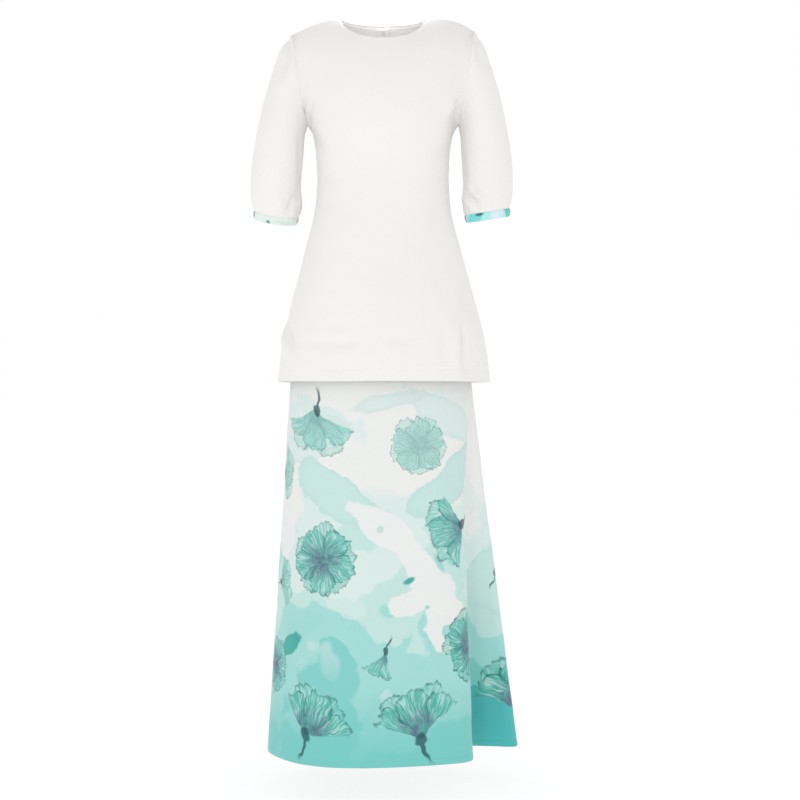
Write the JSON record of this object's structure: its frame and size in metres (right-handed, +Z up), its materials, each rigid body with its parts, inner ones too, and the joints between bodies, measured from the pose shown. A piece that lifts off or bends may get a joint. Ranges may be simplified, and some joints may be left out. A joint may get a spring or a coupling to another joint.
{
  "type": "baju kurung",
  "caption": "Two-piece worn garment: a half-sleeved tunic with gathered cuffs and a back zip over a long flared skirt.",
  "frame": {"origin": "midway between the middles of the two shoulder seams, where the wearer's shoulders carry the tunic", "axes": "+Z up, the garment's front faces -Y, and +X is the wearer's left"},
  "size_m": [0.5081, 0.377, 1.3807],
  "materials": {
    "white_cloth": "matt white crepe with a soft sheen",
    "printed_cloth": "matt crepe printed with aqua washes and flowers on white",
    "zip_metal": "white enamelled zip metal"
  },
  "bodies": {
    "garment": {"tunic_front": "white_cloth", "tunic_back_left": "white_cloth", "tunic_back_right": "white_cloth", "sleeve_left": "white_cloth", "sleeve_right": "white_cloth", "cuff_left": "printed_cloth", "cuff_right": "printed_cloth", "skirt_front": "printed_cloth", "skirt_back": "printed_cloth", "skirt_waistband": "printed_cloth", "zip_slider": "zip_metal"},
    "zip_tab": {"zip_pull": "zip_metal"}
  },
  "joints": [
    {"name": "zip_tab_swing", "type": "hinge", "parent": "garment", "child": "zip_tab", "pos_m": [0, 0.0554, 0.0102], "axis": [1, 0, 0], "range_deg": [0, 150]}
  ]
}
